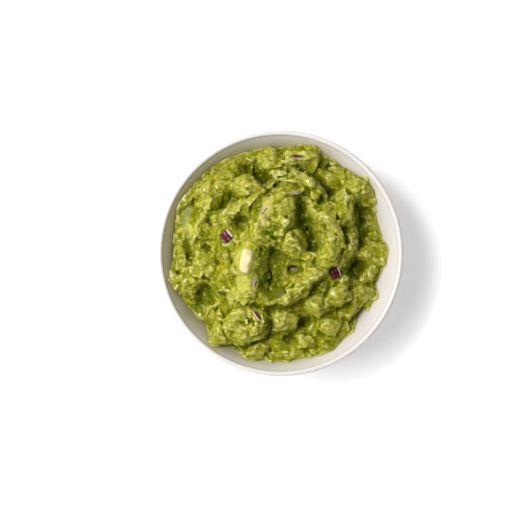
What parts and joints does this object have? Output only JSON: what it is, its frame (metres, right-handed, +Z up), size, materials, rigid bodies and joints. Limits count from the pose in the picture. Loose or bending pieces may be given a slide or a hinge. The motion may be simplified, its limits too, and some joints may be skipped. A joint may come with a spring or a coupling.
{
  "type": "bowl of guacamole",
  "caption": "Small round ceramic bowl heaped with chunky green guacamole, topped with a pale avocado chunk and bits of red onion.",
  "frame": {"origin": "middle of the bowl's foot, on the surface it stands on", "axes": "+Z up out of the bowl, +X and +Y level; the heap's lowest edge faces +X"},
  "size_m": [0.115, 0.115, 0.0549],
  "materials": {
    "ceramic": "warm white satin glaze",
    "mash": "moist mashed avocado, yellow green, glistening",
    "avocado": "pale moist avocado flesh",
    "onion_skin": "moist red onion, dark purple skin side",
    "onion_flesh": "moist red onion, pale translucent side",
    "herb": "chopped coriander leaf"
  },
  "bodies": {
    "root": {"bowl": "ceramic", "guacamole": "mash", "avocado_chunk": "avocado", "onion_dice_left": "onion_skin", "onion_dice_right": "onion_skin", "onion_slice_back": "onion_flesh", "onion_sliver_top": "onion_skin", "onion_sliver_crest": "onion_flesh", "onion_sliver_middle": "onion_flesh", "onion_sliver_low": "onion_skin", "onion_bit_centre": "onion_skin"}
  },
  "joints": []
}
